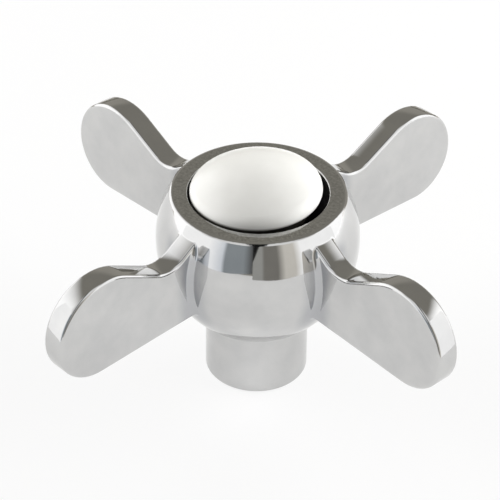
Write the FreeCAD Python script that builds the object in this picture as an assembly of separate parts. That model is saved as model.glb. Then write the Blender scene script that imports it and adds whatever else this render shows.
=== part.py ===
import FreeCAD, Part
import math
import os

# A replacement cross handle for a tap: a chrome plated casting with a round hub, four flat wings
# and a short neck. It slides on a splined valve stem, a screw holds it down, and a domed white
# button with a rubber ring closes the recess above the screw.
# Millimetres and degrees. The origin is the middle of the neck's bottom face, +Z is up along the
# turning axis, and the first wing points along +X.

# Socket for the valve's stem, inside the neck
SPLINE_TEETH = 20
SPLINE_ROOT_RADIUS = 4.1     # bottom of the grooves
SPLINE_TOOTH_DEPTH = 0.5
SPLINE_LENGTH = 10.0
MOUTH_STEP = 1.1             # the plain mouth is this much wider than the grooves
MOUTH_DEPTH = 3.0
MOUTH_CHAMFER = 0.4
WEB_THICKNESS = 2.5          # of the floor above the socket, which the screw clamps

# Button
BUTTON_RADIUS = 9.5
BUTTON_DOME = 4.5            # from the rim up to the crown
DOME_SIDE_RADIUS = 2.0       # of the arc that turns the dome down to its rim
BUTTON_EDGE_HEIGHT = 1.0
BUTTON_EDGE_ROUND = 0.8      # of the lower corner of the edge
BUTTON_OVERHANG = 1.9        # of the edge beyond the shoulder
SHOULDER_LAP = 1.1           # of the shoulder on the floor of the recess
SHOULDER_HEIGHT = 2.5
SPIGOT_CLEARANCE = 0.4       # between the spigot and the wall of the pocket
SPIGOT_LENGTH = 4.5
GROOVE_DEPTH = 0.9
GROOVE_PLAY = 0.4            # room for the rubber ring along its groove
BUTTON_LEAN = 3.6            # the button sits askew on its rubber ring
BUTTON_LEAN_DIRECTION = 225.0
SEAT_CLEARANCE = 0.02        # between pieces that rest on or grip each other

# Recess and ring on top of the hub
BUTTON_GAP = 0.55            # between the button and the wall of the recess
RECESS_DEPTH = 3.65
RECESS_CHAMFER = 0.2
RING_WIDTH = 2.3
TOP_EDGE_ROUND = 0.7

# Hub and neck
NECK_WALL = 2.3              # around the mouth of the socket
NECK_HEIGHT = 9.6            # where the neck meets the belly of the hub
NECK_EDGE_ROUND = 0.5
NECK_FILLET = 0.4            # in the corner between the neck and the belly
HUB_BULGE = 2.15             # the hub is this much wider than the ring on top
BELLY_HEIGHT = 13.4          # from the neck up to the hub's widest place
CROWN_HEIGHT = 7.9           # from there up to the ring

# Wings
WING_COUNT = 4
WING_REACH = 38.0            # from the turning axis to the tip
WING_THICKNESS = 3.6
WING_EDGE_ROUND = 0.5
NOSE_UPPER_RADIUS = 8.35     # the nose rises level with the ring
NOSE_LOWER_RADIUS = 6.75
OUTER_SLOPE = 27.0           # of the rim from the valley up to the nose
ROOT_SLOPE = 34.0            # of the rim from the valley up to the hub
ROOT_DROP = 1.65             # from the ring down to where the rim meets the hub
VALLEY_ROUND = 4.5
UNDERSIDE_SLOPE = 3.0        # the lower edge rises this much towards the hub
ROOT_FILLET = 1.0            # between the wings and the hub
WING_OVERLAP = 1.5           # length of a wing that is cast into the hub

# Screw
SCREW_RADIUS = 2.0
SCREW_THREAD_DEPTH = 0.35    # the thread is too fine to draw, so the shank is cut back to its core
SCREW_PLAIN_LENGTH = 2.0     # of the shank below the head, which has no thread
SCREW_HOLE_CLEARANCE = 0.25
SCREW_LENGTH = 10.0
SCREW_HEAD_OVERLAP = 1.65    # of the head on the web, around the hole
SCREW_HEAD_HEIGHT = 2.6
SCREW_HEAD_ROUND = 1.2
SCREW_POINT_CHAMFER = 0.5
DRIVE_WIDTH = 1.0            # of each arm of the cross recess
DRIVE_LENGTH = 4.4
DRIVE_DEPTH = 1.5

# Radii and heights that follow from those sizes
spline_tip_radius = SPLINE_ROOT_RADIUS - SPLINE_TOOTH_DEPTH
mouth_radius = SPLINE_ROOT_RADIUS + MOUTH_STEP
neck_radius = mouth_radius + NECK_WALL
shoulder_radius = BUTTON_RADIUS - BUTTON_OVERHANG
pocket_radius = shoulder_radius - SHOULDER_LAP
spigot_radius = pocket_radius - SPIGOT_CLEARANCE
groove_radius = spigot_radius - GROOVE_DEPTH
o_ring_cord_radius = (pocket_radius - groove_radius) / 2 - SEAT_CLEARANCE
recess_radius = BUTTON_RADIUS + BUTTON_GAP
ring_inner_radius = recess_radius + RECESS_CHAMFER
ring_outer_radius = ring_inner_radius + RING_WIDTH
hub_radius = ring_outer_radius + HUB_BULGE
screw_hole_radius = SCREW_RADIUS + SCREW_HOLE_CLEARANCE
widest_height = NECK_HEIGHT + BELLY_HEIGHT
top_height = widest_height + CROWN_HEIGHT
recess_edge = top_height - RECESS_CHAMFER
recess_floor = recess_edge - RECESS_DEPTH
socket_top = MOUTH_DEPTH + SPLINE_LENGTH
pocket_floor = socket_top + WEB_THICKNESS

# The button leans about the middle of its rubber ring, until its shoulder touches the recess floor
lean = math.radians(BUTTON_LEAN)
ring_below_shoulder = SPIGOT_LENGTH / 2
lean_drop = shoulder_radius * math.sin(lean) + ring_below_shoulder * (1 - math.cos(lean))
shoulder_height = recess_floor + SEAT_CLEARANCE + lean_drop
o_ring_height = shoulder_height - ring_below_shoulder

UP = FreeCAD.Vector(0, 0, 1)
ORIGIN = FreeCAD.Vector(0, 0, 0)


def at(radius, height):
    """A point of the half plane that the turned profiles are drawn in."""
    return FreeCAD.Vector(radius, 0, height)


def on_circle(centre, radius, angle):
    """The point of a circle in that plane, with the angle counted from +X towards +Z."""
    turn = math.radians(angle)
    return centre + at(radius * math.cos(turn), radius * math.sin(turn))


def line(start, end):
    return Part.LineSegment(start, end).toShape()


def arc(start, middle, end):
    return Part.Arc(start, middle, end).toShape()


def lines(points):
    """Straight edges from each point to the next."""
    return [line(start, end) for start, end in zip(points, points[1:])]


def turned(edges):
    """The solid that a closed outline of edges makes when it turns about the Z axis."""
    face = Part.Face(Part.Wire(edges))
    return face.revolve(ORIGIN, UP, 360)


def rod(radius, bottom, top):
    return Part.makeCylinder(radius, top - bottom, at(0, bottom))


def same(one, other):
    """Whether two lengths agree to a micron, which is how edges are told apart by their place."""
    return abs(one - other) < 0.001


def circles_at(solid, height):
    """The edges of a solid that lie level at a height."""
    level_edges = [edge for edge in solid.Edges if same(edge.BoundBox.ZLength, 0)]
    return [edge for edge in level_edges if same(edge.BoundBox.ZMin, height)]


def arc_radius(height, width):
    """Radius of the arc that leaves the vertical and moves in by width over a height."""
    return (height ** 2 + width ** 2) / (2 * width)


# The hub's side is two arcs that meet upright at its widest place: one down to the neck and one
# up to the ring.
belly_arc_radius = arc_radius(BELLY_HEIGHT, hub_radius - neck_radius)
crown_arc_radius = arc_radius(CROWN_HEIGHT, HUB_BULGE)
belly_centre = at(hub_radius - belly_arc_radius, widest_height)
crown_centre = at(hub_radius - crown_arc_radius, widest_height)


def hub_side(height):
    """Radius of the hub's side at a height."""
    rise = height - widest_height
    if rise > 0:
        return crown_centre.x + math.sqrt(crown_arc_radius ** 2 - rise ** 2)
    return belly_centre.x + math.sqrt(belly_arc_radius ** 2 - rise ** 2)


def hub_and_neck():
    """Neck, belly and flat top ring, turned as one outline, with the seam between two wings."""
    neck_top = at(neck_radius, NECK_HEIGHT)
    widest = at(hub_radius, widest_height)
    ring_outer = at(ring_outer_radius, top_height)
    belly_middle = widest_height - BELLY_HEIGHT / 2
    crown_middle = widest_height + CROWN_HEIGHT / 2
    outline = lines([at(0, 0), at(neck_radius, 0), neck_top])
    outline.append(arc(neck_top, at(hub_side(belly_middle), belly_middle), widest))
    outline.append(arc(widest, at(hub_side(crown_middle), crown_middle), ring_outer))
    outline += lines([ring_outer, at(0, top_height), at(0, 0)])
    solid = turned(outline)
    solid = solid.makeFillet(TOP_EDGE_ROUND, circles_at(solid, top_height))
    solid = solid.makeFillet(NECK_EDGE_ROUND, circles_at(solid, 0))
    solid = solid.makeFillet(NECK_FILLET, circles_at(solid, NECK_HEIGHT))
    solid.rotate(ORIGIN, UP, 180 / WING_COUNT)
    return solid


def wing():
    """One wing along +X: a flat plate with a rounded nose and a valley in its rim, edges rounded."""
    root_height = top_height - ROOT_DROP
    root = at(hub_side(root_height), root_height)
    inner = root.x - WING_OVERLAP

    # Nose: two arcs that meet at the tip
    tip = at(WING_REACH, top_height - NOSE_UPPER_RADIUS)
    upper_centre = at(WING_REACH - NOSE_UPPER_RADIUS, tip.z)
    lower_centre = at(WING_REACH - NOSE_LOWER_RADIUS, tip.z)
    nose_top = on_circle(upper_centre, NOSE_UPPER_RADIUS, 90 + OUTER_SLOPE)
    nose_shoulder = on_circle(upper_centre, NOSE_UPPER_RADIUS, (90 + OUTER_SLOPE) / 2)
    nose_bottom = on_circle(lower_centre, NOSE_LOWER_RADIUS, -90 - UNDERSIDE_SLOPE)
    nose_chin = on_circle(lower_centre, NOSE_LOWER_RADIUS, (-90 - UNDERSIDE_SLOPE) / 2)

    # Valley: the corner where the two slopes of the rim cross, rounded by an arc
    outer_rise = math.tan(math.radians(OUTER_SLOPE))
    root_rise = math.tan(math.radians(ROOT_SLOPE))
    fall = root.z + root.x * root_rise - nose_top.z + nose_top.x * outer_rise
    corner_reach = fall / (root_rise + outer_rise)
    corner = at(corner_reach, root.z - (corner_reach - root.x) * root_rise)
    half_turn = math.radians((OUTER_SLOPE + ROOT_SLOPE) / 2)
    valley_cut = VALLEY_ROUND * math.tan(half_turn)
    valley_outer = on_circle(corner, valley_cut, OUTER_SLOPE)
    valley_inner = on_circle(corner, valley_cut, 180 - ROOT_SLOPE)
    valley_side = (OUTER_SLOPE - ROOT_SLOPE) / 2
    valley_centre = on_circle(corner, VALLEY_ROUND / math.cos(half_turn), 90 + valley_side)
    valley_low = on_circle(valley_centre, VALLEY_ROUND, -90 + valley_side)

    # Inner end, which is cast into the hub
    underside_rise = math.tan(math.radians(UNDERSIDE_SLOPE))
    inner_bottom = at(inner, nose_bottom.z + (nose_bottom.x - inner) * underside_rise)
    inner_top = at(inner, root.z + WING_OVERLAP * root_rise)
    outline = [
        line(inner_top, valley_inner),
        arc(valley_inner, valley_low, valley_outer),
        line(valley_outer, nose_top),
        arc(nose_top, nose_shoulder, tip),
        arc(tip, nose_chin, nose_bottom),
        line(nose_bottom, inner_bottom),
        line(inner_bottom, inner_top),
    ]
    plate = Part.Face(Part.Wire(outline)).extrude(FreeCAD.Vector(0, WING_THICKNESS, 0))
    plate.translate(FreeCAD.Vector(0, -WING_THICKNESS / 2, 0))
    flat_edges = [edge for edge in plate.Edges if same(edge.BoundBox.YLength, 0)]
    rim_edges = [edge for edge in flat_edges if not same(edge.BoundBox.XMax, inner)]
    return plate.makeFillet(WING_EDGE_ROUND, rim_edges)


def is_root_edge(edge):
    """Whether an edge lies on the hub's side, within the thickness of a wing."""
    middle = edge.valueAt((edge.FirstParameter + edge.LastParameter) / 2)
    if not NECK_HEIGHT < middle.z < top_height:
        return False
    reach = math.hypot(middle.x, middle.y)
    pitch = 2 * math.pi / WING_COUNT
    turn = math.atan2(middle.y, middle.x)
    across = reach * abs(math.sin(turn - round(turn / pitch) * pitch))
    within_wing = across < WING_THICKNESS / 2 or same(across, WING_THICKNESS / 2)
    return within_wing and same(reach, hub_side(middle.z))


def spline_cutter():
    """A bar with a toothed section: the straight-sided serrations that grip the valve's stem."""
    points = []
    for corner in range(2 * SPLINE_TEETH):
        radius = SPLINE_ROOT_RADIUS if corner % 2 == 0 else spline_tip_radius
        turn = math.pi * corner / SPLINE_TEETH
        points.append(FreeCAD.Vector(radius * math.cos(turn), radius * math.sin(turn), MOUTH_DEPTH))
    outline = Part.makePolygon(points + points[:1])
    return Part.Face(outline).extrude(UP * SPLINE_LENGTH)


def handle_body():
    """The casting: hub, neck and wings in one, with the recess above and the socket below."""
    body = hub_and_neck()
    for index in range(WING_COUNT):
        blade = wing()
        blade.rotate(ORIGIN, UP, index * 360 / WING_COUNT)
        body = body.fuse(blade)
    body = body.removeSplitter()
    body = body.makeFillet(ROOT_FILLET, [edge for edge in body.Edges if is_root_edge(edge)])

    recess = turned(lines([
        at(0, recess_floor),
        at(recess_radius, recess_floor),
        at(recess_radius, recess_edge),
        at(ring_inner_radius, top_height),
        at(0, top_height),
        at(0, recess_floor),
    ]))
    pocket = rod(pocket_radius, pocket_floor, recess_floor)
    screw_hole = rod(screw_hole_radius, socket_top, pocket_floor)
    mouth = turned(lines([
        at(0, 0),
        at(mouth_radius + MOUTH_CHAMFER, 0),
        at(mouth_radius, MOUTH_CHAMFER),
        at(mouth_radius, MOUTH_DEPTH),
        at(0, MOUTH_DEPTH),
        at(0, 0),
    ]))
    for cutter in (recess, pocket, screw_hole, spline_cutter(), mouth):
        body = body.cut(cutter)
    return body


def askew(solid):
    """Turns a piece that was made upright to the way the button sits, leaning to one side."""
    direction = math.radians(BUTTON_LEAN_DIRECTION)
    hinge = FreeCAD.Vector(-math.sin(direction), math.cos(direction), 0)
    solid.rotate(at(0, o_ring_height), hinge, BUTTON_LEAN)
    return solid


def index_button():
    """The blank domed button: a dome of two arcs, a rounded edge, a shoulder and a grooved spigot."""
    edge_bottom = shoulder_height + SHOULDER_HEIGHT
    rim = at(BUTTON_RADIUS, edge_bottom + BUTTON_EDGE_HEIGHT)
    crown = at(0, rim.z + BUTTON_DOME)
    spigot_bottom = shoulder_height - SPIGOT_LENGTH

    # Dome: a wide arc over the crown, and a tighter one that turns down to the rim
    side_centre = at(BUTTON_RADIUS - DOME_SIDE_RADIUS, rim.z)
    crown_radius = (side_centre.x ** 2 + BUTTON_DOME ** 2 - DOME_SIDE_RADIUS ** 2)
    crown_radius /= 2 * (BUTTON_DOME - DOME_SIDE_RADIUS)
    cap_centre = at(0, crown.z - crown_radius)
    joint_angle = math.degrees(math.atan2(side_centre.z - cap_centre.z, side_centre.x))
    joint = on_circle(side_centre, DOME_SIDE_RADIUS, joint_angle)
    outline = [
        arc(crown, on_circle(cap_centre, crown_radius, (90 + joint_angle) / 2), joint),
        arc(joint, on_circle(side_centre, DOME_SIDE_RADIUS, joint_angle / 2), rim),
    ]

    # Edge with a rounded lower corner
    edge_centre = at(BUTTON_RADIUS - BUTTON_EDGE_ROUND, edge_bottom + BUTTON_EDGE_ROUND)
    edge_side = on_circle(edge_centre, BUTTON_EDGE_ROUND, 0)
    edge_under = on_circle(edge_centre, BUTTON_EDGE_ROUND, -90)
    outline.append(line(rim, edge_side))
    outline.append(arc(edge_side, on_circle(edge_centre, BUTTON_EDGE_ROUND, -45), edge_under))

    # Shoulder, and the spigot with its groove
    half_groove = o_ring_cord_radius + GROOVE_PLAY / 2
    outline += lines([
        edge_under,
        at(shoulder_radius, edge_bottom),
        at(shoulder_radius, shoulder_height),
        at(spigot_radius, shoulder_height),
        at(spigot_radius, o_ring_height + half_groove),
        at(groove_radius, o_ring_height + half_groove),
        at(groove_radius, o_ring_height - half_groove),
        at(spigot_radius, o_ring_height - half_groove),
        at(spigot_radius, spigot_bottom),
        at(0, spigot_bottom),
        crown,
    ])
    return askew(turned(outline))


def button_o_ring():
    """The rubber ring in the spigot's groove, which grips the wall of the pocket."""
    ring_radius = (groove_radius + pocket_radius) / 2
    return askew(Part.makeTorus(ring_radius, o_ring_cord_radius, at(0, o_ring_height)))


def fixing_screw():
    """A pan head screw with a cross recess, whose head clamps the web above the socket."""
    head_top = pocket_floor + SCREW_HEAD_HEIGHT
    point = pocket_floor - SCREW_LENGTH
    head = rod(screw_hole_radius + SCREW_HEAD_OVERLAP, pocket_floor, head_top)
    head = head.makeFillet(SCREW_HEAD_ROUND, circles_at(head, head_top))
    plain_bottom = pocket_floor - SCREW_PLAIN_LENGTH
    plain = rod(SCREW_RADIUS, plain_bottom, pocket_floor)
    core = rod(SCREW_RADIUS - SCREW_THREAD_DEPTH, point, plain_bottom)
    core = core.makeChamfer(SCREW_POINT_CHAMFER, circles_at(core, point))
    screw = head.fuse([plain, core]).removeSplitter()
    corner = FreeCAD.Vector(-DRIVE_LENGTH / 2, -DRIVE_WIDTH / 2, head_top - DRIVE_DEPTH)
    for turn in (0, 90):
        slot = Part.makeBox(DRIVE_LENGTH, DRIVE_WIDTH, DRIVE_DEPTH, corner)
        slot.rotate(ORIGIN, UP, turn)
        screw = screw.cut(slot)
    return screw


os.makedirs("parts", exist_ok=True)
for piece in (handle_body, index_button, button_o_ring, fixing_screw):
    piece().exportStep(f"parts/{piece.__name__}.step")
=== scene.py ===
import math

import bmesh
import bpy
import numpy as np
from mathutils import Euler, Matrix, Vector


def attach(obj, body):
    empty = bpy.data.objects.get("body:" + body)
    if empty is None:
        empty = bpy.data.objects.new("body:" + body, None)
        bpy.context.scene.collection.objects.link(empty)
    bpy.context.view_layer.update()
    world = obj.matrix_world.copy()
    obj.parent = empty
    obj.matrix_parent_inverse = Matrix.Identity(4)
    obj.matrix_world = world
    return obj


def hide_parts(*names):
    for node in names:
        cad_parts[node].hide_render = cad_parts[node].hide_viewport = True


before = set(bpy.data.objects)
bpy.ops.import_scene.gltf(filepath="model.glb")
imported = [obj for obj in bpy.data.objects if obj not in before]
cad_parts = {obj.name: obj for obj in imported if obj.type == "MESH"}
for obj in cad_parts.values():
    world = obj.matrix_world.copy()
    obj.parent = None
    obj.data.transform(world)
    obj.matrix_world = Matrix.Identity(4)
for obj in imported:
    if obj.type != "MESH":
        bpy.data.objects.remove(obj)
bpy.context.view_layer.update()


# The handle: one zinc alloy casting with a round hub, four flat wings and a neck, ground, polished
# and chrome plated. A mirror finish shows the least error of a normal, so the casting is the CAD
# mesh with its corners joined, and its normals are worked out anew from the form's own surfaces.
MM = 0.001
TOP_HEIGHT = 30.9 * MM
RING_OUTER_RADIUS = 12.55 * MM
RECESS_RADIUS = 10.05 * MM
HUB_RADIUS = 14.7 * MM
WIDEST_HEIGHT = 23.0 * MM
NECK_RADIUS = 7.5 * MM
NECK_HEIGHT = 9.6 * MM
MOUTH_EDGE_RADIUS = 5.6 * MM         # of the socket's mouth, with its chamfer
WEB_HEIGHT = 15.5 * MM
WING_REACH = 38.0 * MM
WING_THICKNESS = 3.6 * MM
WING_EDGE_ROUND = 0.5 * MM
RIM_CROWN = math.radians(6.5)        # the narrow rims are taken as rounded a little by the polishing wheel
NOSE_UPPER_RADIUS = 8.35 * MM
NOSE_LOWER_RADIUS = 6.75 * MM
OUTER_SLOPE = math.radians(27.0)
ROOT_SLOPE = math.radians(34.0)
UNDERSIDE_SLOPE = math.radians(3.0)
ROOT_DROP = 1.65 * MM
VALLEY_ROUND = 4.5 * MM
ROOT_FILLET = 1.0 * MM
WING_COUNT = 4
SMOOTH_TURN = math.radians(35.0)     # edges that turn by more than this stay sharp
TOUCH = 0.003 * MM                   # a corner this near to a surface lies on it
ROUND_TOUCH = 0.08 * MM              # the same for the root's round, which the CAD only comes near to
JOIN_DISTANCE = 0.0005 * MM          # corners of the mesh this near to each other are one
ROLLING_STEPS = 12                   # tries at the place of the ball that rolls along the root
SHORTEST = 1e-9                      # no length or spread that is divided by is less than these
LEAST_SPREAD = 1e-6


def arc_radius(height, width):
    """Radius of the arc that leaves the vertical and moves in by width over a height."""
    return (height ** 2 + width ** 2) / (2 * width)


belly_arc = arc_radius(WIDEST_HEIGHT - NECK_HEIGHT, HUB_RADIUS - NECK_RADIUS)
crown_arc = arc_radius(TOP_HEIGHT - WIDEST_HEIGHT, HUB_RADIUS - RING_OUTER_RADIUS)


def turned(points, outward, upward):
    """Directions in the round, from their outward and upward parts at each point."""
    reach = np.maximum(np.hypot(points[:, 0], points[:, 1]), SHORTEST)
    return np.stack([outward * points[:, 0] / reach, outward * points[:, 1] / reach, upward], axis=1)


def hub_surface(points):
    """Gap from the hub's side, which is two arcs in the round, and the direction away from it."""
    upper = points[:, 2] > WIDEST_HEIGHT
    radius = np.where(upper, crown_arc, belly_arc)
    outward = np.hypot(points[:, 0], points[:, 1]) - (HUB_RADIUS - radius)
    upward = points[:, 2] - WIDEST_HEIGHT
    length = np.hypot(outward, upward)
    return length - radius, turned(points, outward / length, upward / length)


def ring_surface(points):
    """Gap from the flat ring on top and the direction away from it."""
    ones = np.ones(len(points))
    return points[:, 2] - TOP_HEIGHT, turned(points, 0 * ones, ones)


def neck_surface(points):
    """Gap from the neck's side and the direction away from it."""
    ones = np.ones(len(points))
    return np.hypot(points[:, 0], points[:, 1]) - NECK_RADIUS, turned(points, ones, 0 * ones)


def rim_surface(along, height):
    """Gap from a wing's outline, seen from its side, and the direction away from it."""
    # The rim falls from the root to a rounded valley, and rises again to the nose
    root_height = TOP_HEIGHT - ROOT_DROP
    crown_rise = root_height - WIDEST_HEIGHT
    root = np.array([HUB_RADIUS - crown_arc + math.sqrt(crown_arc ** 2 - crown_rise ** 2), root_height])
    tip_height = TOP_HEIGHT - NOSE_UPPER_RADIUS
    upper_centre = np.array([WING_REACH - NOSE_UPPER_RADIUS, tip_height])
    lower_centre = np.array([WING_REACH - NOSE_LOWER_RADIUS, tip_height])
    root_run = np.array([math.cos(ROOT_SLOPE), -math.sin(ROOT_SLOPE)])
    outer_run = np.array([math.cos(OUTER_SLOPE), math.sin(OUTER_SLOPE)])
    root_up = np.array([math.sin(ROOT_SLOPE), math.cos(ROOT_SLOPE)])
    outer_up = np.array([-math.sin(OUTER_SLOPE), math.cos(OUTER_SLOPE)])
    under_down = np.array([-math.sin(UNDERSIDE_SLOPE), -math.cos(UNDERSIDE_SLOPE)])
    nose_top = upper_centre + NOSE_UPPER_RADIUS * outer_up
    nose_bottom = lower_centre + NOSE_LOWER_RADIUS * under_down
    # The middle of the valley's round lies one radius above both slopes
    lift = np.array([root_up @ root, outer_up @ nose_top]) + VALLEY_ROUND
    valley = np.linalg.solve(np.array([root_up, outer_up]), lift)

    place = np.stack([along, height], axis=1)
    above = height > tip_height
    past_root = (place - valley) @ root_run > 0
    past_valley = (place - valley) @ outer_run > 0
    on_nose = np.where(above, (place - nose_top) @ outer_run, along - nose_bottom[0]) > 0
    from_valley = valley - place
    valley_length = np.maximum(np.linalg.norm(from_valley, axis=1), SHORTEST)
    from_nose = place - np.where(above[:, None], upper_centre, lower_centre)
    nose_length = np.maximum(np.linalg.norm(from_nose, axis=1), SHORTEST)
    nose_radius = np.where(above, NOSE_UPPER_RADIUS, NOSE_LOWER_RADIUS)

    stretches = [on_nose, ~above, past_valley, past_root]
    gap = np.select(
        stretches,
        [nose_length - nose_radius, (place - nose_bottom) @ under_down,
         (place - nose_top) @ outer_up, VALLEY_ROUND - valley_length],
        (place - root) @ root_up,
    )
    way = np.select(
        [stretch[:, None] for stretch in stretches],
        [from_nose / nose_length[:, None], np.broadcast_to(under_down, place.shape),
         np.broadcast_to(outer_up, place.shape), from_valley / valley_length[:, None]],
        root_up,
    )
    return gap, way


def wing_surface(points, crown=RIM_CROWN):
    """Gap from the nearest wing, a plate with rounded edges, and the direction away from it. Across
    its rim that direction leans by the crown to each side."""
    pitch = 2 * math.pi / WING_COUNT
    turn = np.round(np.arctan2(points[:, 1], points[:, 0]) / pitch) * pitch
    cosine, sine = np.cos(turn), np.sin(turn)
    along = points[:, 0] * cosine + points[:, 1] * sine
    across = points[:, 1] * cosine - points[:, 0] * sine
    rim_gap, rim_way = rim_surface(along, points[:, 2])
    side_gap = np.abs(across) - WING_THICKNESS / 2
    over_rim = np.maximum(rim_gap + WING_EDGE_ROUND, 0)
    over_side = np.maximum(side_gap + WING_EDGE_ROUND, 0)
    reach = np.hypot(over_rim, over_side)
    gap = np.where(reach > 0, reach - WING_EDGE_ROUND, np.maximum(rim_gap, side_gap))
    sideways = np.minimum(np.abs(across) / (WING_THICKNESS / 2 - WING_EDGE_ROUND), 1)
    lean = crown * sideways + np.arctan2(over_side, over_rim) * (1 - crown / (math.pi / 2))
    rim_share, side_share = np.cos(lean), np.sign(across) * np.sin(lean)
    run = rim_share * rim_way[:, 0]
    way = [run * cosine - side_share * sine, run * sine + side_share * cosine, rim_share * rim_way[:, 1]]
    return gap, np.stack(way, axis=1)


def root_round(points):
    """Gap from the round between hub and wings, and its direction: towards the middle of the ball
    that rolls along the corner and touches both."""
    middle = points.copy()
    for step in range(ROLLING_STEPS):
        hub_gap, hub_way = hub_surface(middle)
        wing_gap, wing_way = wing_surface(middle, crown=0)
        meet = (hub_way * wing_way).sum(axis=1)
        spread = np.maximum(1 - meet ** 2, LEAST_SPREAD)
        to_hub, to_wing = ROOT_FILLET - hub_gap, ROOT_FILLET - wing_gap
        middle += ((to_hub - meet * to_wing) / spread)[:, None] * hub_way
        middle += ((to_wing - meet * to_hub) / spread)[:, None] * wing_way
        corner = np.cross(hub_way, wing_way)
        corner /= np.sqrt(spread)[:, None]
        middle -= ((middle - points) * corner).sum(axis=1)[:, None] * corner
    way = middle - points
    length = np.maximum(np.linalg.norm(way, axis=1), SHORTEST)
    return ROOT_FILLET - length, way / length[:, None]


def add_object(name, data):
    """A new object in the scene that holds a mesh, a lamp or a camera."""
    added = bpy.data.objects.new(name, data)
    bpy.context.scene.collection.objects.link(added)
    return added


handle_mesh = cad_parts["handle_body"].data.copy()
joined = bmesh.new()
joined.from_mesh(handle_mesh)
bmesh.ops.remove_doubles(joined, verts=joined.verts, dist=JOIN_DISTANCE)
joined.to_mesh(handle_mesh)
joined.free()
handle_mesh.polygons.foreach_set("use_smooth", [True] * len(handle_mesh.polygons))
handle_mesh.set_sharp_from_angle(angle=SMOOTH_TURN)

corner_count = len(handle_mesh.loops)
normals = np.empty(3 * corner_count, np.float32)
handle_mesh.corner_normals.foreach_get("vector", normals)
normals = normals.reshape(-1, 3)
corner_vertex = np.empty(corner_count, np.int32)
handle_mesh.loops.foreach_get("vertex_index", corner_vertex)
places = np.empty(3 * len(handle_mesh.vertices), np.float32)
handle_mesh.vertices.foreach_get("co", places)
places = places.reshape(-1, 3).astype(float)
facing = np.empty(3 * len(handle_mesh.polygons), np.float32)
handle_mesh.polygons.foreach_get("normal", facing)
facing = np.repeat(facing.reshape(-1, 3), 3, axis=0)
surfaces = [(root_round, ROUND_TOUCH), (wing_surface, TOUCH), (neck_surface, TOUCH)]
surfaces += [(hub_surface, TOUCH), (ring_surface, TOUCH)]
for surface, touch in surfaces:
    gap, way = surface(places)
    gap, way = gap[corner_vertex], way[corner_vertex]
    level = (way * facing).sum(axis=1) > math.cos(SMOOTH_TURN)
    on_surface = (np.abs(gap) < touch) & level
    normals[on_surface] = way[on_surface]
handle_mesh.normals_split_custom_set(normals)
handle = add_object("handle_casting", handle_mesh)


def new_finish(name):
    """A new material, with its node tree and the shader of its surface."""
    finish = bpy.data.materials.new(name)
    finish.use_nodes = True
    return finish, finish.node_tree, finish.node_tree.nodes["Principled BSDF"]


def add_noise(tree, scale, detail):
    """A value from 0 to 1 that wanders over the piece."""
    coordinates = tree.nodes.new("ShaderNodeTexCoord")
    noise = tree.nodes.new("ShaderNodeTexNoise")
    noise.inputs["Scale"].default_value = scale
    noise.inputs["Detail"].default_value = detail
    tree.links.new(coordinates.outputs["Object"], noise.inputs["Vector"])
    return noise.outputs["Fac"]


def add_tone(tree, value, dark, light, dark_at=0, light_at=1):
    """A colour that goes from dark to light with a value."""
    ramp = tree.nodes.new("ShaderNodeValToRGB")
    first, last = ramp.color_ramp.elements
    first.position = dark_at
    first.color = dark
    last.position = light_at
    last.color = light
    tree.links.new(value, ramp.inputs["Fac"])
    return ramp.outputs["Color"]


def add_range(tree, value, start=0, end=1, low=0, high=1, shape="LINEAR"):
    """A number that goes from low to high as a value goes from start to end."""
    span = tree.nodes.new("ShaderNodeMapRange")
    span.interpolation_type = shape
    span.inputs["From Min"].default_value = start
    span.inputs["From Max"].default_value = end
    span.inputs["To Min"].default_value = low
    span.inputs["To Max"].default_value = high
    tree.links.new(value, span.inputs["Value"])
    return span.outputs["Result"]


def add_fade(tree, value, start, end):
    """A share that goes gently from 0 to 1 as a value goes from start to end."""
    return add_range(tree, value, start, end, shape="SMOOTHSTEP")


def add_math(tree, operation, *values):
    """What an operation makes of values, each a number or an output of another node."""
    sum_node = tree.nodes.new("ShaderNodeMath")
    sum_node.operation = operation
    for place, value in zip(sum_node.inputs, values):
        if isinstance(value, (int, float)):
            place.default_value = value
        else:
            tree.links.new(value, place)
    return sum_node.outputs["Value"]


def add_mix(tree, share, first, second, blend="MIX"):
    """A colour between two by a share, each a colour as written or an output of another node."""
    mix = tree.nodes.new("ShaderNodeMix")
    mix.data_type = "RGBA"
    mix.blend_type = blend
    tree.links.new(share, mix.inputs["Factor"])
    for name, colour in (("A", first), ("B", second)):
        if isinstance(colour, tuple):
            mix.inputs[name].default_value = colour
        else:
            tree.links.new(colour, mix.inputs[name])
    return mix.outputs["Result"]


def add_place(tree):
    """The place of each point on the piece, as one output for each axis."""
    coordinates = tree.nodes.new("ShaderNodeTexCoord")
    split = tree.nodes.new("ShaderNodeSeparateXYZ")
    tree.links.new(coordinates.outputs["Object"], split.inputs["Vector"])
    return split.outputs


CHROME_DARK = (0.595, 0.595, 0.595, 1)
CHROME_LIGHT = (0.645, 0.645, 0.64, 1)
POLISH_DEPTH = 0.03 * MM
chrome, tree, plate = new_finish("polished_chrome")
plate.inputs["Metallic"].default_value = 1
# The polishing wheel leaves the casting gently uneven under its plating
bump = tree.nodes.new("ShaderNodeBump")
bump.inputs["Distance"].default_value = POLISH_DEPTH
bump.inputs["Strength"].default_value = 1.0
tree.links.new(add_noise(tree, scale=110, detail=0), bump.inputs["Height"])
tree.links.new(bump.outputs["Normal"], plate.inputs["Normal"])
# Handling leaves faint cloudy patches
cloudy = add_noise(tree, scale=260, detail=4)
haze = add_range(tree, cloudy, start=0.35, end=0.75, low=0.035, high=0.085)
film = add_tone(tree, cloudy, CHROME_DARK, CHROME_LIGHT, dark_at=0.32, light_at=0.68)
tree.links.new(haze, plate.inputs["Roughness"])
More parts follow.
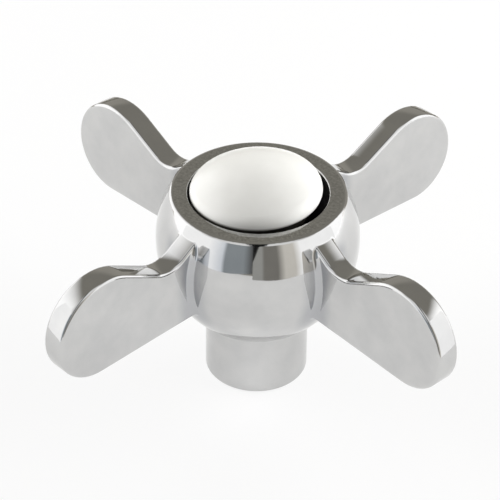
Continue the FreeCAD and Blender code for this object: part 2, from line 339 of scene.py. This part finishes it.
# The corners between hub and wings are painted darker, except at their tops: painted shade for the dim
# light that the chrome mirrors there.
# A place is told by its distance from the axis and across the nearest wing.
CORNER_FROM_AXIS = 14.3 * MM
CORNER_FADE = 3.2 * MM               # the painted shade starts this far from the corner
CORNER_SHADE_WHOLE = 1.0 * MM               # and is whole from here on
CORNER_TOP = 28.5 * MM
CORNER_TOP_FADE = 2.0 * MM
CORNER_SHADE = (0.79, 0.80, 0.825, 1)
place = add_place(tree)
flat = tree.nodes.new("ShaderNodeCombineXYZ")
for axis in ("X", "Y"):
    tree.links.new(place[axis], flat.inputs[axis])
off_axis = tree.nodes.new("ShaderNodeVectorMath")
off_axis.operation = "LENGTH"
tree.links.new(flat.outputs["Vector"], off_axis.inputs[0])
across = add_math(tree, "MINIMUM", *[add_math(tree, "ABSOLUTE", place[axis]) for axis in ("X", "Y")])
corner_place = tree.nodes.new("ShaderNodeCombineXYZ")
tree.links.new(across, corner_place.inputs["X"])
tree.links.new(off_axis.outputs["Value"], corner_place.inputs["Y"])
to_corner = tree.nodes.new("ShaderNodeVectorMath")
to_corner.operation = "DISTANCE"
to_corner.inputs[1].default_value = (WING_THICKNESS / 2, CORNER_FROM_AXIS, 0)
tree.links.new(corner_place.outputs["Vector"], to_corner.inputs[0])
painted_corner_shade = add_fade(tree, to_corner.outputs["Value"], CORNER_FADE, CORNER_SHADE_WHOLE)
below_top = add_fade(tree, place["Z"], CORNER_TOP, CORNER_TOP - CORNER_TOP_FADE)
corner_shade_share = add_math(tree, "MULTIPLY", painted_corner_shade, below_top)
# Painted shade: the chrome's colour is made darker near each corner
darker = add_mix(tree, corner_shade_share, film, CORNER_SHADE, blend="MULTIPLY")
tree.links.new(darker, plate.inputs["Base Color"])

# The flat ring on top is lapped to a satin face before it is plated
RING_DARK = (0.52, 0.52, 0.51, 1)
RING_LIGHT = (0.68, 0.68, 0.67, 1)
satin, tree, plate = new_finish("satin_chrome")
plate.inputs["Metallic"].default_value = 1
lapping = add_noise(tree, scale=2600, detail=2)
film = add_tone(tree, lapping, RING_DARK, RING_LIGHT, dark_at=0.30, light_at=0.70)
tree.links.new(film, plate.inputs["Base Color"])
tree.links.new(add_range(tree, lapping, low=0.06, high=0.13), plate.inputs["Roughness"])

# The plating thins out in the recess and the socket, where the cast metal is dull. Its colour is painted
# nearly black: painted shade for the deep gap around the button.
RECESS_SHADE_DARK = (0.040, 0.040, 0.038, 1)
RECESS_SHADE_LIGHT = (0.100, 0.098, 0.094, 1)
dull_and_shaded, tree, skin = new_finish("dull_metal_painted_shade")
skin.inputs["Metallic"].default_value = 0.8
skin.inputs["Roughness"].default_value = 0.4
grain = add_noise(tree, scale=1200, detail=4)
tree.links.new(add_tone(tree, grain, RECESS_SHADE_DARK, RECESS_SHADE_LIGHT), skin.inputs["Base Color"])

finishes = [chrome, satin, dull_and_shaded]
handle_mesh.materials.clear()
for finish in finishes:
    handle_mesh.materials.append(finish)
middles = np.empty(3 * len(handle_mesh.polygons), np.float32)
handle_mesh.polygons.foreach_get("center", middles)
middles = middles.reshape(-1, 3)
from_axis = np.hypot(middles[:, 0], middles[:, 1])
# Faces in the socket and the recess take the dull metal with its painted shade
in_socket = (from_axis < MOUTH_EDGE_RADIUS) & (middles[:, 2] > TOUCH)
in_recess = (from_axis < RECESS_RADIUS + TOUCH) & (middles[:, 2] > WEB_HEIGHT - TOUCH)
on_ring = (from_axis < RING_OUTER_RADIUS) & (middles[:, 2] > TOP_HEIGHT - TOUCH)
finish_of_face = np.select(
    [in_socket | in_recess, on_ring],
    [finishes.index(dull_and_shaded), finishes.index(satin)],
    finishes.index(chrome),
)
handle_mesh.polygons.foreach_set("material_index", finish_of_face.astype(np.int32))
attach(handle, "root")
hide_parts("handle_body")


# The screw under the button: zinc plated steel with a pan head and a cross recess. Its head clamps
# the web of the casting down on the end of the valve's stem.
SCREW_DARK = (0.50, 0.50, 0.51, 1)
SCREW_LIGHT = (0.66, 0.66, 0.67, 1)
screw_steel, tree, plate = new_finish("zinc_plated_steel")
plate.inputs["Metallic"].default_value = 1
dull = add_noise(tree, scale=900, detail=5)
tone = add_tone(tree, dull, SCREW_DARK, SCREW_LIGHT, dark_at=0.35, light_at=0.70)
tree.links.new(tone, plate.inputs["Base Color"])
tree.links.new(add_range(tree, dull, low=0.25, high=0.42), plate.inputs["Roughness"])


def paint_node(name, finish):
    """Gives a CAD node its finish."""
    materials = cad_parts[name].data.materials
    materials.clear()
    materials.append(finish)


paint_node("fixing_screw", screw_steel)


# The screw's thread: a rolled ridge that winds down the core of its shank, of the same steel. It
# follows a spiral and sinks into the core, which the CAD leaves at the bottom of the thread.
THREAD_BOTTOM = 6.0 * MM
THREAD_TOP = 13.3 * MM
THREAD_PITCH = 0.7 * MM
THREAD_MIDDLE_RADIUS = 1.70 * MM
THREAD_CORD_RADIUS = 0.29 * MM
thread_tree = bpy.data.node_groups.new("screw_thread", "GeometryNodeTree")
face = thread_tree.interface
face.new_socket("Geometry", in_out="OUTPUT", socket_type="NodeSocketGeometry")
thread_sizes = {
    "Turns": (THREAD_TOP - THREAD_BOTTOM) / THREAD_PITCH,
    "Middle Radius": THREAD_MIDDLE_RADIUS,
    "Cord Radius": THREAD_CORD_RADIUS,
    "Height": THREAD_TOP - THREAD_BOTTOM,
    "Bottom": THREAD_BOTTOM,
}
sockets = {}
for name in thread_sizes:
    sockets[name] = face.new_socket(name, in_out="INPUT", socket_type="NodeSocketFloat").identifier
nodes, links = thread_tree.nodes, thread_tree.links
sizes = nodes.new("NodeGroupInput")
spiral = nodes.new("GeometryNodeCurveSpiral")
spiral.inputs["Resolution"].default_value = 36
for end in ("Start Radius", "End Radius"):
    links.new(sizes.outputs["Middle Radius"], spiral.inputs[end])
links.new(sizes.outputs["Turns"], spiral.inputs["Rotations"])
links.new(sizes.outputs["Height"], spiral.inputs["Height"])
cord = nodes.new("GeometryNodeCurvePrimitiveCircle")
cord.inputs["Resolution"].default_value = 10
links.new(sizes.outputs["Cord Radius"], cord.inputs["Radius"])
ridge = nodes.new("GeometryNodeCurveToMesh")
ridge.inputs["Fill Caps"].default_value = True
links.new(spiral.outputs["Curve"], ridge.inputs["Curve"])
links.new(cord.outputs["Curve"], ridge.inputs["Profile Curve"])
rise = nodes.new("ShaderNodeCombineXYZ")
links.new(sizes.outputs["Bottom"], rise.inputs["Z"])
lift = nodes.new("GeometryNodeTransform")
links.new(ridge.outputs["Mesh"], lift.inputs["Geometry"])
links.new(rise.outputs["Vector"], lift.inputs["Translation"])
smooth = nodes.new("GeometryNodeSetShadeSmooth")
links.new(lift.outputs["Geometry"], smooth.inputs["Geometry"])
realize = nodes.new("GeometryNodeRealizeInstances")
links.new(smooth.outputs["Geometry"], realize.inputs["Geometry"])
paint = nodes.new("GeometryNodeSetMaterial")
paint.inputs["Material"].default_value = screw_steel
links.new(realize.outputs["Geometry"], paint.inputs["Geometry"])
result = nodes.new("NodeGroupOutput")
links.new(paint.outputs["Geometry"], result.inputs["Geometry"])
thread = add_object("screw_thread", bpy.data.meshes.new("screw_thread_base"))
winding = thread.modifiers.new("winding", "NODES")
winding.node_group = thread_tree
for name, size in thread_sizes.items():
    winding[sockets[name]] = size
drawn = bpy.context.evaluated_depsgraph_get()
thread_mesh = bpy.data.meshes.new_from_object(thread.evaluated_get(drawn))
thread.modifiers.remove(winding)
thread.data = thread_mesh
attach(thread, "root")


# The rubber ring in the groove of the button's spigot: moulded black rubber, which grips the wall
# of the pocket and holds the button in.
RUBBER_DARK = (0.018, 0.018, 0.018, 1)
RUBBER_LIGHT = (0.045, 0.044, 0.042, 1)
rubber, tree, skin = new_finish("black_rubber")
skin.inputs["Roughness"].default_value = 0.6
bloom = add_noise(tree, scale=1500, detail=3)
tree.links.new(add_tone(tree, bloom, RUBBER_DARK, RUBBER_LIGHT), skin.inputs["Base Color"])
paint_node("button_o_ring", rubber)


# The blank button: fired white ceramic with a clear glaze, turned to a dome with a shoulder and a
# grooved spigot. It is pushed into the recess and sits a little askew on its rubber ring.
GLAZE_DARK = (0.795, 0.793, 0.768, 1)
GLAZE_LIGHT = (0.825, 0.823, 0.80, 1)
glaze, tree, skin = new_finish("white_glaze")
skin.inputs["Roughness"].default_value = 0.22
mottle = add_noise(tree, scale=300, detail=4)
tone = add_tone(tree, mottle, GLAZE_DARK, GLAZE_LIGHT, dark_at=0.3, light_at=0.7)
# Painted shade in the joint: the glaze is painted nearly black where the button goes down inside the ring
JOINT_SHADE = (0.045, 0.042, 0.036, 1)
JOINT_SHADE_WHOLE = 0.20 * MM               # below the ring's face, and deeper
JOINT_SHADE_END = 0.35 * MM                 # above it
# Painted shade: darker below the ring's face, fading out just above it
above_joint = add_fade(tree, add_place(tree)["Z"], TOP_HEIGHT - JOINT_SHADE_WHOLE, TOP_HEIGHT + JOINT_SHADE_END)
tree.links.new(add_mix(tree, above_joint, JOINT_SHADE, tone), skin.inputs["Base Color"])
paint_node("index_button", glaze)


# Camera: a long lens that looks down over the corner between two wings. Its place and its turn were
# found from the edges of the hub and the wings in the photograph.
CAMERA_PLACE = Vector((211.17, -198.78, 236.27)) * MM
CAMERA_TILT = math.radians(53.3480)  # up from straight down
CAMERA_ROLL = math.radians(-0.5173)
CAMERA_TURN = math.radians(47.3333)  # about the upright
SENSOR_WIDTH = 36                    # this and the lens are in millimetres, as cameras give them
LENS_LENGTH = 180.3
NEAREST_SEEN = 0.01
FARTHEST_SEEN = 20
camera_data = bpy.data.cameras.new("camera")
camera_data.sensor_width = SENSOR_WIDTH
camera_data.lens = LENS_LENGTH
camera_data.clip_start = NEAREST_SEEN
camera_data.clip_end = FARTHEST_SEEN
camera = add_object("camera", camera_data)
turn = Euler((CAMERA_TILT, CAMERA_ROLL, CAMERA_TURN)).to_matrix()
camera.matrix_world = Matrix.Translation(CAMERA_PLACE) @ turn.to_4x4()
bpy.context.scene.camera = camera


# Floor: a white sheet, lit from below as well, that runs from side to side between two soft boxes, on
# a grey table. Places here are counted from the object's axis: to the camera's right, and away from it.
SHEET_FRONT = -0.16
SHEET_BACK = 0.14
SHEET_EDGE = 0.01
SHEET_GLOW_SEEN = 0.85
SHEET_GLOW_MIRRORED = 0.50
FLOOR_HALF = 3.0
SHEET_WHITE = (0.80, 0.80, 0.80, 1)
TABLE_GREY = (0.35, 0.335, 0.30, 1)
stage_turn = Matrix.Rotation(CAMERA_TURN, 4, "Z")
floor_mesh = bpy.data.meshes.new("floor")
signs = [(-1, -1), (1, -1), (1, 1), (-1, 1)]
floor_mesh.from_pydata([(x * FLOOR_HALF, y * FLOOR_HALF, 0) for x, y in signs], [], [(0, 1, 2, 3)])
floor = add_object("floor", floor_mesh)
floor.matrix_world = stage_turn
paper, tree, surface = new_finish("floor")
surface.inputs["Roughness"].default_value = 0.9
surface.inputs["Specular IOR Level"].default_value = 0.1
sheet_middle = (SHEET_FRONT + SHEET_BACK) / 2
sheet_half = (SHEET_BACK - SHEET_FRONT) / 2
depth = add_math(tree, "ABSOLUTE", add_math(tree, "SUBTRACT", add_place(tree)["Y"], sheet_middle))
on_table = add_range(tree, depth, start=sheet_half - SHEET_EDGE, end=sheet_half)
tree.links.new(add_mix(tree, on_table, SHEET_WHITE, TABLE_GREY), surface.inputs["Base Color"])


def cover_with_glow(tree, share, under, strength=1):
    """Ends a material in a white glow that covers what is under it by a share."""
    glow = tree.nodes.new("ShaderNodeEmission")
    glow.inputs["Strength"].default_value = strength
    blend = tree.nodes.new("ShaderNodeMixShader")
    tree.links.new(share, blend.inputs["Fac"])
    tree.links.new(under.outputs["BSDF"], blend.inputs[1])
    tree.links.new(glow.outputs["Emission"], blend.inputs[2])
    tree.links.new(blend.outputs["Shader"], tree.nodes["Material Output"].inputs["Surface"])


# The camera sees the sheet nearly white, with the object's shadow, and the table about it white. The
# chrome sees the sheet a little less white, and the table as it is.
rays = tree.nodes.new("ShaderNodeLightPath").outputs
seen_share = add_range(tree, on_table, low=SHEET_GLOW_SEEN, high=1)
mirrored_share = add_range(tree, on_table, low=SHEET_GLOW_MIRRORED, high=0)
seen = add_math(tree, "MULTIPLY", rays["Is Camera Ray"], seen_share)
seen_or_mirrored = add_math(tree, "MULTIPLY_ADD", rays["Is Glossy Ray"], mirrored_share, seen)
cover_with_glow(tree, seen_or_mirrored, surface)
floor_mesh.materials.append(paper)


# Light: a soft box at each side, in a room of warm grey. Tall cloths hang on both sides of the camera,
# with a dark gap between them. The lamps light the object, and the chrome mirrors the glowing cloths,
# which fade out towards their tops and ends.
SIDE_BOX_DISTANCE = 0.32
LAMP_DEPTH = 0.44
LAMP_BACK = 0.09
CLOTH_GLOW = 1.6
CLOTH_FRONT = -0.15
CLOTH_END = 0.11
soft_boxes = [
    {"name": "left_soft_box", "side": -1, "lamp_height": 0.45, "lamp_brightness": 3.65,
     "cloth_height": 0.62, "full_glow_height": 0.16, "cloth_back": 0.66},
    {"name": "right_soft_box", "side": 1, "lamp_height": 0.35, "lamp_brightness": 5.7,
     "cloth_height": 0.43, "full_glow_height": 0.22, "cloth_back": 0.26},
]


def only_mirrored(board):
    """Leaves a board out of all but the reflections."""
    board.visible_camera = False
    board.visible_diffuse = False
    board.visible_shadow = False


for soft_box in soft_boxes:
    name, side = soft_box["name"], soft_box["side"]
    lamp_height, cloth_height = soft_box["lamp_height"], soft_box["cloth_height"]
    lamp = bpy.data.lights.new(name, "AREA")
    lamp.shape = "RECTANGLE"
    lamp.size = LAMP_DEPTH
    lamp.size_y = lamp_height
    lamp.energy = soft_box["lamp_brightness"] * math.pi * LAMP_DEPTH * lamp_height
    box = add_object(name, lamp)
    inward = stage_turn @ Vector((-side, 0, 0))
    box.location = stage_turn @ Vector((side * SIDE_BOX_DISTANCE, LAMP_BACK, lamp_height / 2))
    box.rotation_euler = inward.to_track_quat("-Z", "Y").to_euler()
    box.visible_camera = False
    box.visible_glossy = False

    cloth_mesh = bpy.data.meshes.new(name + "_cloth")
    half = (soft_box["cloth_back"] - CLOTH_FRONT) / 2
    corners = [(0, -half, 0), (0, half, 0), (0, half, cloth_height), (0, -half, cloth_height)]
    cloth_mesh.from_pydata(corners, [], [(0, 1, 2, 3)])
    cloth, tree, unused_shader = new_finish(name + "_cloth")
    tree.nodes.remove(unused_shader)
    place = add_place(tree)
    upward = add_fade(tree, place["Z"], cloth_height, soft_box["full_glow_height"])
    ends = add_fade(tree, add_math(tree, "ABSOLUTE", place["Y"]), half, half - CLOTH_END)
    both = add_math(tree, "MULTIPLY", upward, ends)
    cover_with_glow(tree, both, tree.nodes.new("ShaderNodeBsdfTransparent"), strength=CLOTH_GLOW)
    cloth_mesh.materials.append(cloth)
    front = add_object(name + "_cloth", cloth_mesh)
    cloth_middle = (side * SIDE_BOX_DISTANCE, soft_box["cloth_back"] - half, 0)
    front.matrix_world = stage_turn @ Matrix.Translation(cloth_middle)
    only_mirrored(front)

# The room is told by direction, of length 1: to the camera's right, away from it, and up
ROOM_LOW_GREY = (0.36, 0.343, 0.304, 1)
ROOM_HIGH_GREY = (0.255, 0.244, 0.216, 1)
LOW_UP_TO = 0.33
HIGH_FROM = 0.58
FRONT_CLOTH = (0.95, 0.95, 0.95, 1)
FRONT_FILL = 0.15                    # the share of the front cloths' glow that lights the object
FRONT_FROM = 0.0
FRONT_WHOLE = -0.35
GAP_SHADE = (0.012, 0.012, 0.012, 1)
GAP_UP_TO = 0.09                     # to each side of the middle
GAP_END = 0.20
BACKDROP_WHITE = (1, 1, 1, 1)
room = bpy.data.worlds.new("room")
room.use_nodes = True
tree = room.node_tree
coordinates = tree.nodes.new("ShaderNodeTexCoord")
turn_back = tree.nodes.new("ShaderNodeVectorRotate")
turn_back.rotation_type = "Z_AXIS"
turn_back.inputs["Angle"].default_value = -CAMERA_TURN
split = tree.nodes.new("ShaderNodeSeparateXYZ")
tree.links.new(coordinates.outputs["Generated"], turn_back.inputs["Vector"])
tree.links.new(turn_back.outputs["Vector"], split.inputs["Vector"])
rays = tree.nodes.new("ShaderNodeLightPath").outputs
beside_gap = add_fade(tree, add_math(tree, "ABSOLUTE", split.outputs["X"]), GAP_UP_TO, GAP_END)
glow_share = add_range(tree, rays["Is Glossy Ray"], low=FRONT_FILL, high=1)
front_tone = add_mix(tree, add_math(tree, "MULTIPLY", beside_gap, glow_share), GAP_SHADE, FRONT_CLOTH)
upward = add_fade(tree, split.outputs["Z"], LOW_UP_TO, HIGH_FROM)
room_shade = add_mix(tree, upward, ROOM_LOW_GREY, ROOM_HIGH_GREY)
in_front = add_fade(tree, split.outputs["Y"], FRONT_FROM, FRONT_WHOLE)
room_tone = add_mix(tree, in_front, room_shade, front_tone)
backdrop = add_mix(tree, rays["Is Camera Ray"], room_tone, BACKDROP_WHITE)
tree.links.new(backdrop, tree.nodes["Background"].inputs["Color"])
bpy.context.scene.world = room


# Cards: glowing boards that stand on the sheet on both sides of the camera, in white and grey, which only
# the chrome sees: the hub mirrors them under its ring.
# Each has a height and a colour at some places along its foot.
glow, tree, unused_shader = new_finish("card")
tree.nodes.remove(unused_shader)
card_light = tree.nodes.new("ShaderNodeEmission")
card_colour = tree.nodes.new("ShaderNodeAttribute")
card_colour.attribute_name = "card_colour"
tree.links.new(card_colour.outputs["Color"], card_light.inputs["Color"])
tree.links.new(card_light.outputs["Emission"], tree.nodes["Material Output"].inputs["Surface"])
BRIGHT = (1.35, 1.35, 1.35)
PALE_BLUE = (0.88, 0.92, 0.98)
BLUE_GREY = (0.33, 0.36, 0.38)
DARK_GREY = (0.10, 0.10, 0.10)
MID_GREY = (0.40, 0.40, 0.38)
BROWN_GREY = (0.24, 0.23, 0.21)
BEIGE = (0.76, 0.73, 0.67)
# Each post: its place to the right, its place away from the camera, its height and its colour
cards = {
    "left_card": [
        (-0.150, 0.000, 0.110, BRIGHT), (-0.104, -0.073, 0.105, BRIGHT),
        (-0.083, -0.107, 0.100, PALE_BLUE), (-0.078, -0.115, 0.098, BLUE_GREY),
        (-0.046, -0.169, 0.115, BLUE_GREY), (-0.018, -0.190, 0.120, DARK_GREY),
    ],
    "right_card": [
        (-0.010, -0.110, 0.035, MID_GREY), (0.007, -0.107, 0.080, MID_GREY),
        (0.012, -0.104, 0.080, BROWN_GREY), (0.034, -0.094, 0.078, BROWN_GREY),
        (0.046, -0.088, 0.075, BEIGE), (0.062, -0.080, 0.075, BEIGE),
        (0.072, -0.070, 0.090, BRIGHT), (0.130, 0.000, 0.100, BRIGHT),
    ],
}
for name, posts in cards.items():
    ends = [(right, away, end) for right, away, height, colour in posts for end in (0, height)]
    colours = [(*colour, 1) for right, away, height, colour in posts for end in (0, height)]
    faces = [(foot, foot + 2, foot + 3, foot + 1) for foot in range(0, len(ends) - 2, 2)]
    card_mesh = bpy.data.meshes.new(name)
    card_mesh.from_pydata(ends, [], faces)
    card_mesh.transform(stage_turn)
    painted = card_mesh.color_attributes.new("card_colour", "FLOAT_COLOR", "POINT")
    for point, colour in zip(painted.data, colours):
        point.color = colour
    card_mesh.materials.append(glow)
    card = add_object(name, card_mesh)
    only_mirrored(card)

bpy.context.scene.view_settings.view_transform = "Standard"
